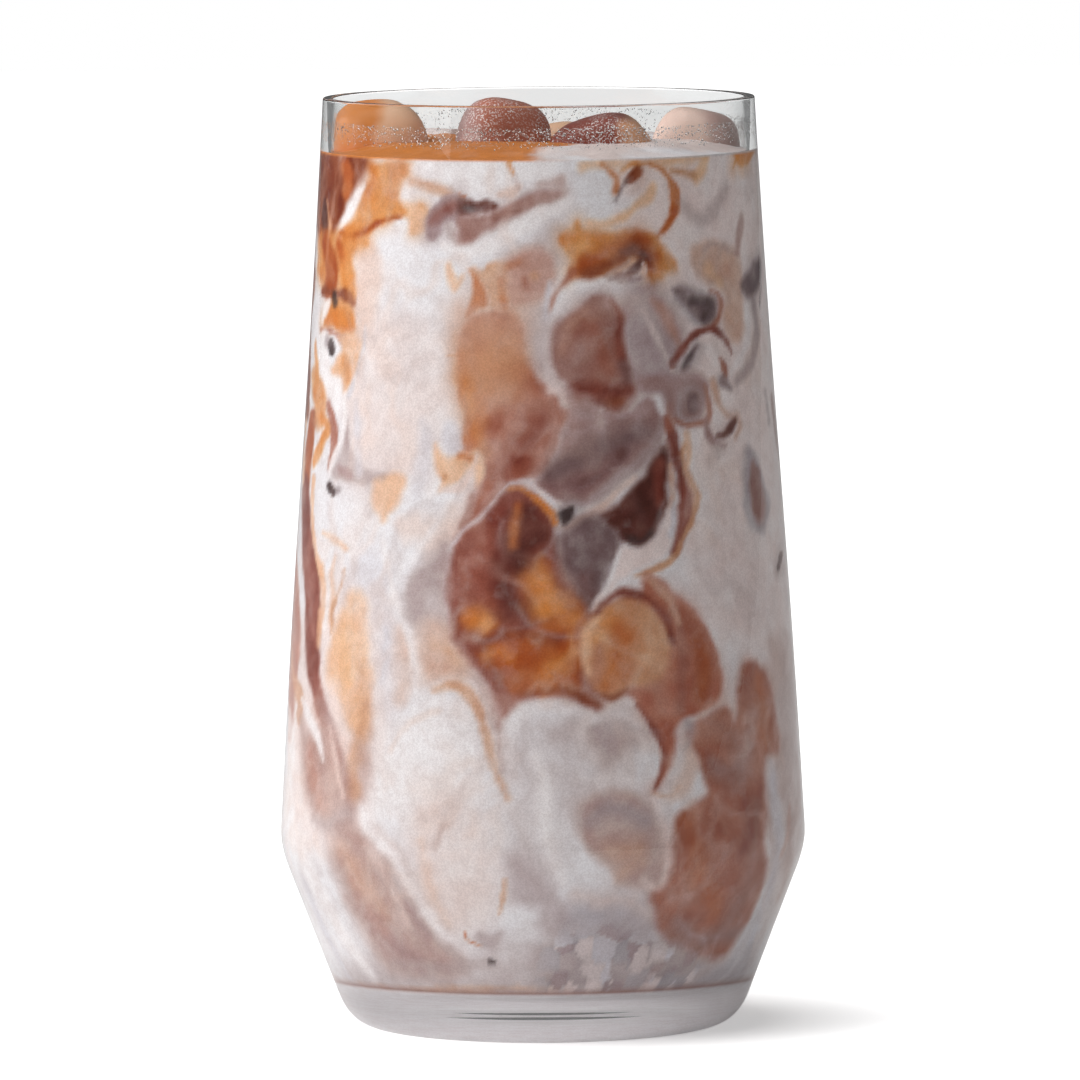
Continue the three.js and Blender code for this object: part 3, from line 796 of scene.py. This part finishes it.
def read_pours():
    """The pours as tone, edge, cover and points.

    A stream near the glass's side is as much wider on the drink as the side makes it look narrower.
    """
    for line in POURS.replace("\n  ", "").splitlines():
        if ":" in line and line[0] != "#":
            head, points = line.split(":")
            tone, edge, cover = head.split()
            points = [[float(v) / 10 for v in point.split()] for point in points.split(",")]
            for before, point in zip(points, points[1:]):
                point += before[len(point):]
            placed = unrolled(points)
            if len(points[0]) == 3:
                seen = np.array(points)[:, :2]
                wider = (unrolled(seen + (0.1, 0)) - unrolled(seen - (0.1, 0)))[:, 0] / 0.2
                ends = np.pad(seen, ((1, 1), (0, 0)), "edge")
                run = np.abs(ends[2:] - ends[:-2]) + 1e-6
                placed[:, 2] *= np.clip(wider, 1, 3) ** (run[:, 1] / run.sum(1))
            yield TONES[tone], float(edge) / 10, float(cover), placed


def blended(below, above, share):
    """Two colours mixed as the eye would, so that thin coffee isn't washed out by the milk."""
    return (below ** 0.4 * (1 - share) + above ** 0.4 * share) ** 2.5


def poured(arc, height, warp):
    """The drink's colour at places on its side. Pours mottle inside and leave a rim of cream."""
    places = np.stack([arc, height], axis=1) + warp
    solid = np.stack([arc, height, np.zeros(len(arc))], axis=1)
    colour = np.tile(TONES["milk"], (len(arc), 1))
    for index, (tone, edge, cover, line) in enumerate(read_pours()):
        stream = line.shape[1] == 3
        wide = 3 * edge + 1 + (line[:, 2].max() if stream else 0)
        low, high = line[:, :2].min(0) - wide, line[:, :2].max(0) + wide
        near = np.flatnonzero(((places > low) & (places < high)).all(1))
        if not len(near):
            continue
        gap = signed_distance(places[near], line)
        spot = solid[near] + 17.3 * index
        if not stream and sum(tone) < 1.3:
            halo = 0.3 * cover * np.exp(-(np.maximum(gap, 0) / 1.6) ** 2) * ease(-0.5, 0.4, noise(spot, 5, 44))
            colour[near] = blended(colour[near], tone, halo[:, None])
        if not stream:
            rim = np.exp(-((gap - 0.9 * edge - 0.3) / 0.45) ** 2) * (edge < 2)
            rim = 0.1 * rim * ease(-0.2, 0.5, noise(spot, 3.5, 40))
            colour[near] += rim[:, None] * (TONES["cream"] - colour[near])
        gap = gap + (0.2 + 0.7 * edge) * clouds(spot, 1.4 + edge, 30, 4)
        mottle = 1.5 * clouds(spot, 3.6, 34, 5)
        share = (cover * (1 - 0.1 * ease(0, 0.9, mottle)) * ease(1.2 * edge, -1.2 * edge, gap))[:, None]
        deep = tone ** (1 - 0.28 * mottle[:, None])
        colour[near] = blended(colour[near], deep, share)
    return colour


def drink_outline():
    """The drink's outline, from the middle of its floor up the wall to the middle of its surface."""
    wall = np.array(inside_outline(REACH, FILL_HEIGHT))
    corner = wall[1:12]
    side = wall[11:]
    length = np.concatenate([[0], np.cumsum(np.hypot(*np.diff(side, axis=0).T))])
    even = np.linspace(0, length[-1], WALL_ROWS)
    side = np.stack([np.interp(even, length, side[:, k]) for k in (0, 1)], axis=1)
    edge = side[-1, 0]
    top = edge * (1 - np.linspace(0, 1, TOP_ROWS + 1)[1:-1] ** 1.4)
    top = np.stack([top, np.full(len(top), FILL_HEIGHT)], axis=1)
    floor = np.stack([np.linspace(0, FLOOR_RADIUS, 6)[:-1], np.full(5, wall[0, 1])], axis=1)
    return np.concatenate([floor, corner[:-1], side, top, [(0, FILL_HEIGHT)]])


def front_dense_angles():
    """Angles all round, closest at the front, from one side of the back seam to the other."""
    fine = np.linspace(-math.pi, math.pi, 2000)
    share = (fine + math.pi + FRONT_DENSITY * np.sin(fine)) / (2 * math.pi)
    turn = np.interp(np.linspace(0, 1, DRINK_COLUMNS, endpoint=False), share, fine)
    return turn - math.pi / 2


def froth(arc, height):
    """The froth low at the right: how much of it there is, and its colour with painted shade. Each bubble is
    painted lighter in its middle and darker towards its edge, and the gaps between them darker still.
    """
    draw = np.random.default_rng(5)
    cells = np.stack([draw.uniform(-5, 38, 330), draw.uniform(3, 23, 330)], axis=1)
    size = 0.9 + 1.9 * draw.random(330) ** 2
    tones = np.array([TONES[tone] for tone in ("ash", "smoke", "lavender", "fog", "stone", "ash")])
    tones = tones[draw.integers(0, 6, 330)] * draw.uniform(0.85, 1.05, (330, 1))
    share = ease(-4, 2, arc) * ease(36, 28, arc) * ease(22, 17, height + 0.25 * np.abs(arc - 8))
    # The gaps between bubble domes are painted a darker ash, as shade.
    bulge, colour = np.zeros(len(arc)), np.tile(TONES["ash"], (len(arc), 1)) * 0.85
    for (x, z), radius, tone in zip(cells, size, tones):
        near = np.flatnonzero(np.hypot(arc - x, height - z) < radius)
        dome = np.sqrt(1 - (np.hypot(arc[near] - x, height[near] - z) / radius) ** 2)
        over = dome * radius > bulge[near]
        bulge[near[over]] = (dome * radius)[over]
        # Painted shading: each bubble is lighter where its dome is high and darker towards its edge.
        colour[near[over]] = tone * (0.66 + 0.38 * dome[over, None])
    return share, colour


def veiled(colour, places):
    """Thin veils of coffee and of plain milk over the pours, folded by the pouring."""
    fold = places + 7 * np.stack([clouds(places, 15, seed) for seed in (81, 85, 89)], axis=1)
    for tone, lump, seed, most in (("petal", 10, 91, 0.26), ("ash", 8, 95, 0.2), ("cream", 6, 99, 0.2)):
        sheet = ease(0.2, 0, np.abs(clouds(fold * (1, 1, 0.6), lump, seed, 4)))
        sheet *= ease(-0.3, 0.3, noise(places, 12, seed + 4))
        colour = blended(colour, TONES[tone], most * sheet[:, None])
    return colour


def drink_paint(places):
    """Colours for the drink's points, from the pours in front, and the same pours turned behind."""
    turn = np.arctan2(places[:, 0], -places[:, 1])
    height = places[:, 2]
    slow = np.stack([clouds(places, 9, seed) for seed in (1, 5)], axis=1)
    quick = np.stack([clouds(places, 2.6, seed, 2) for seed in (11, 15)], axis=1)
    warp = 0.35 * slow + 0.2 * quick
    arc = turn * UNROLL_RADIUS
    front = poured(arc, height, warp)
    # The froth at the lower right, with painted shade on its bubble domes and in the gaps between them, laid
    # over the pours.
    share, shaded_bubbles = froth(arc + 2 * warp[:, 0], height + 2 * warp[:, 1])
    front = blended(front, shaded_bubbles, 0.65 * share[:, None])
    behind = (turn + 2 * math.pi - 0.35) % (2 * math.pi) - math.pi
    back = poured(-behind * UNROLL_RADIUS, 8 + 0.93 * height, 2.5 * warp)
    at_back = ease(1.64, 1.9, np.abs(turn) + 0.12 * slow[:, 0])[:, None]
    side = front * (1 - at_back) + back * at_back
    drift = 34 * clouds(places * (1, 1, 0) + 4 * slow[:, :1], 30, 24) * ease(-30, -8, places[:, 1])
    coffee = ease(1.5, -2, places[:, 0] + drift + 2.5 * slow[:, 0] + 3 * np.abs(quick[:, 1]))[:, None]
    swirl = ease(-0.25, 0.25, clouds(places * (1, 1.6, 1) + 6 * slow[:, :1], 11, 21))[:, None]
    surface = TONES["milk"] * (1 - 0.5 * swirl) + 0.5 * swirl * TONES["petal"]
    surface = surface * (1 - coffee) + coffee * TONES["amber"]
    on_top = ease(FILL_HEIGHT - 0.25, FILL_HEIGHT - 0.05, height)[:, None]
    side = veiled(side, places)
    # A dark mauve line painted along the bottom of the drink's side, just above its floor.
    floor_line = 0.75 * np.exp(-((height - FLOOR_HEIGHT - 0.45) / 0.3) ** 2)
    side = blended(side, TONES["mauve"], floor_line[:, None])
    under = ease(FLOOR_HEIGHT + 0.3, FLOOR_HEIGHT, height)[:, None]
    side = side * (1 - under) + under * TONES["milk"]
    return side * (1 - on_top) + surface * on_top


def raise_surface(mesh):
    """Lifts the top of the drink towards the ice, uneven with slush."""
    places = places_of(mesh)
    depth = wall_radius(FILL_HEIGHT) - wall_thickness(FILL_HEIGHT) - np.hypot(places[:, 0], places[:, 1])
    lift = SURFACE_RISE * ease(0, 9, depth) + 0.6 * ease(0.5, 4, depth) * clouds(places, 5, 50)
    places[:, 2] += np.where(places[:, 2] > FILL_HEIGHT - 0.01, lift, 0)
    mesh.vertices.foreach_set("co", (places * MM).ravel())
    mesh.update()


def set_colour(mesh, name, colour):
    layer = mesh.color_attributes.new(name, "FLOAT_COLOR", "POINT")
    layer.data.foreach_set("color", np.column_stack([colour, np.ones(len(colour))]).ravel())


def places_of(mesh):
    """A mesh's points, in millimetres."""
    places = np.empty(len(mesh.vertices) * 3)
    mesh.vertices.foreach_get("co", places)
    return places.reshape(-1, 3) / MM


def marbling():
    """A node group that breaks a poured colour up into fine curds, pale clouds and grain."""
    group = bpy.data.node_groups.new("marbling", "ShaderNodeTree")
    group.interface.new_socket("Colour", in_out="INPUT", socket_type="NodeSocketColor")
    group.interface.new_socket("Marbled", in_out="OUTPUT", socket_type="NodeSocketColor")
    colour = group.nodes.new("NodeGroupInput").outputs[0]
    where = add(group, "TexCoord")["Object"]

    def noise_of(place, scale, detail):
        return add(group, "TexNoise", {"Scale": scale, "Detail": detail, "Roughness": 0.6, "Vector": place})

    bent = {0: noise_of(where, 190, 3)["Color"], 1: (0.003, 0.003, 0.003), 2: where}
    bent = add(group, "VectorMath", bent, operation="MULTIPLY_ADD")[0]
    for place, scale, detail, ends, most, kind, tone in (
        (bent, 420, 5, (0.6, 0.36), 0.2, "MULTIPLY", (0.62, 0.5, 0.47, 1)),
        (bent, 240, 3, (0.5, 0.72), 0.08, "MIX", (0.82, 0.77, 0.76, 1)),
        (where, 3600, 1, (0.7, 0.3), 0.3, "MULTIPLY", (0.55, 0.5, 0.5, 1)),
    ):
        share = ramp(group, noise_of(place, scale, detail)["Fac"], ends, (0, most))
        colour = add(group, "Mix", {"Factor": share, 6: colour, 7: tone}, data_type="RGBA", blend_type=kind)[2]
    group.links.new(colour, group.nodes.new("NodeGroupOutput").inputs[0])
    return group


def mocha_material():
    material, tree = node_material("mocha")
    pour = add(tree, "VertexColor", layer_name="pour")["Color"]
    marbled = add(tree, "Group", {0: pour}, node_tree=marbling())[0]
    wet = {"Base Color": marbled, "Roughness": 0.4, "Specular IOR Level": 0.1}
    add(tree, "OutputMaterial", {"Surface": add(tree, "BsdfPrincipled", wet)[0]})
    return material


drink = link("mocha", turned("mocha", [tuple(p) for p in drink_outline()], front_dense_angles()))
set_colour(drink.data, "pour", drink_paint(places_of(drink.data)))
raise_surface(drink.data)
drink.data.materials.append(mocha_material())
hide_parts("drink")
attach(drink, "root")


# The ice at the top: half-melted lumps that stand out of the drink and lean on the wall, wet with
# coffee, and frosted where the air has reached them.
ICE_SQUARENESS, ICE_DENT, ICE_GAP = 3, 0.35, 0.3

# Each lump's place, size and turn, its tones to the left and right of a split, and how frosted it is.
ICE = [
    ("ice_left", (-24.8, 1.5, 135.9), (15.5, 15.5, 19.5), (8, -8, 10), "honey", "peach", -25, 0.12),
    ("ice_middle", (-6, 0.5, 136.2), (14.8, 15, 19.5), (-8, 8, 16), "taupe", "cocoa", -9, 1),
    ("ice_front_right", (10.3, -9.5, 134.3), (17.2, 14, 18.2), (10, -15, 8), "chestnut", "tan", 13.5, 1),
    ("ice_right", (24.6, 4.0, 134.4), (14.5, 15, 18.5), (-10, 11, -8), "petal", "haze", 26, 0.2),
    ("ice_back_left", (-14.8, 20.4, 131.4), (16, 15, 17), (12, 10, 30), "stone", "haze", -15, 0.5),
    ("ice_back", (2.6, 20.6, 132.2), (15, 15, 17), (-12, -12, 8), "peach", "haze", 5, 0.3),
    ("ice_back_right", (20.2, 19.2, 130.6), (13, 13, 16), (10, 10, 40), "blush", "ash", 22, 0.3),
]


def melted_lump(name, at, size, turn, seed):
    """A box rounded by melting, dented like its CAD piece, with a fine unevenness on top."""
    shape = bmesh.new()
    bmesh.ops.create_cube(shape, size=2)
    bmesh.ops.subdivide_edges(shape, edges=shape.edges[:], cuts=27, use_grid_fill=True)
    v = np.array([point.co for point in shape.verts])
    v /= (np.abs(v) ** ICE_SQUARENESS).sum(1, keepdims=True) ** (1 / ICE_SQUARENESS)
    dent = ICE_DENT * np.sin(2.1 * v[:, :1] + seed) * np.sin(2.7 * v[:, 1:2] + 2 * seed + v[:, 2:])
    v *= np.array(size) / 2 - dent
    v *= 1 - 0.02 * (1 + clouds(v, 4, 60 + seed))[:, None]
    turned_by = Euler([math.radians(angle) for angle in turn], "ZYX").to_matrix()
    v = v @ np.array(turned_by).T + at
    reach = np.hypot(v[:, 0], v[:, 1])
    room = np.array([wall_radius(z) - wall_thickness(max(z, SHOULDER_HEIGHT)) - ICE_GAP for z in v[:, 2]])
    v[:, :2] *= np.minimum(1, room / np.maximum(reach, 1e-6))[:, None]
    for point, place in zip(shape.verts, v):
        point.co = Vector(place) * MM
    mesh = bpy.data.meshes.new(name)
    shape.to_mesh(mesh)
    shape.free()
    mesh.shade_smooth()
    return mesh


def ice_material():
    """Wet ice full of coffee. Fine white specks lie where its frost colour is high."""
    material, tree = node_material("coffee_ice")
    tint, frost = (add(tree, "VertexColor", layer_name=name)["Color"] for name in ("tint", "frost"))
    grain = {"Scale": 3600, "Detail": 1, "Vector": add(tree, "TexCoord")["Object"]}
    grain = add(tree, "TexNoise", grain)["Fac"]
    specks = add(tree, "MapRange", {"Value": grain, "From Min": 0.56, "From Max": 0.62, "To Max": 0.85})[0]
    share = add(tree, "Math", {0: specks, 1: frost}, operation="MULTIPLY")[0]
    colour = add(tree, "Mix", {"Factor": share, 6: tint, 7: (0.86, 0.8, 0.78, 1)}, data_type="RGBA")[2]
    wet = {"Base Color": colour, "Roughness": 0.3, "Specular IOR Level": 0.35}
    add(tree, "OutputMaterial", {"Surface": add(tree, "BsdfPrincipled", wet)[0]})
    return material


wet_ice = ice_material()
for index, (name, at, size, turn, left_tone, right_tone, split, frost) in enumerate(ICE):
    ice = link("lump_" + name, melted_lump(name, at, size, turn, index))
    places = places_of(ice.data)
    cloud = clouds(places, 5, 70 + index)
    right = ease(-1.5, 1.5, places[:, 0] - split + 2 * cloud)[:, None]
    tint = TONES[left_tone] * (1 - right) + TONES[right_tone] * right
    set_colour(ice.data, "tint", tint * (1 + 0.25 * cloud)[:, None])
    set_colour(ice.data, "frost", np.repeat((frost * ease(-0.4, 0.4, cloud))[:, None], 3, axis=1))
    ice.data.materials.append(wet_ice)
    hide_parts(name)
    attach(ice, "root")


# Condensation: beads of water on the inside of the glass above the drink.
BEADS = 6500


def bead_mesh():
    """Beads of water on the wall, flattened where they hold to it."""
    draw = np.random.default_rng(7)
    angle = draw.uniform(0, 2 * math.pi, BEADS)
    z = FILL_HEIGHT + 1.5 + (HEIGHT - FILL_HEIGHT - 5) * draw.random(BEADS) ** 0.7
    radius = 0.05 + 0.13 * draw.random(BEADS) ** 5
    wall = wall_radius(z) - np.array([wall_thickness(height) for height in z]) - 0.1 * radius
    shape = bmesh.new()
    bmesh.ops.create_icosphere(shape, subdivisions=1, radius=1)
    ball = np.array([point.co for point in shape.verts])
    ball_faces = np.array([[point.index for point in face.verts] for face in shape.faces])
    shape.free()
    ball[:, 0] *= 0.55
    outward = np.stack([np.cos(angle), np.sin(angle), 0 * angle], axis=1)
    around = np.stack([-np.sin(angle), np.cos(angle), 0 * angle], axis=1)
    size = radius[:, None, None]
    points = size * (ball[None, :, :1] * outward[:, None] + ball[None, :, 1:2] * around[:, None])
    points[:, :, 2] += radius[:, None] * ball[None, :, 2] + z[:, None]
    points += (outward * wall[:, None])[:, None]
    faces = ball_faces[None] + len(ball) * np.arange(BEADS)[:, None, None]
    mesh = bpy.data.meshes.new("beads")
    mesh.from_pydata(points.reshape(-1, 3) * MM, [], faces.reshape(-1, 3).tolist())
    mesh.shade_smooth()
    return mesh


beads = link("condensation", bead_mesh())
beads.data.materials.append(glass.data.materials[0])
beads.visible_shadow = False
beads.visible_diffuse = False
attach(beads, "root")
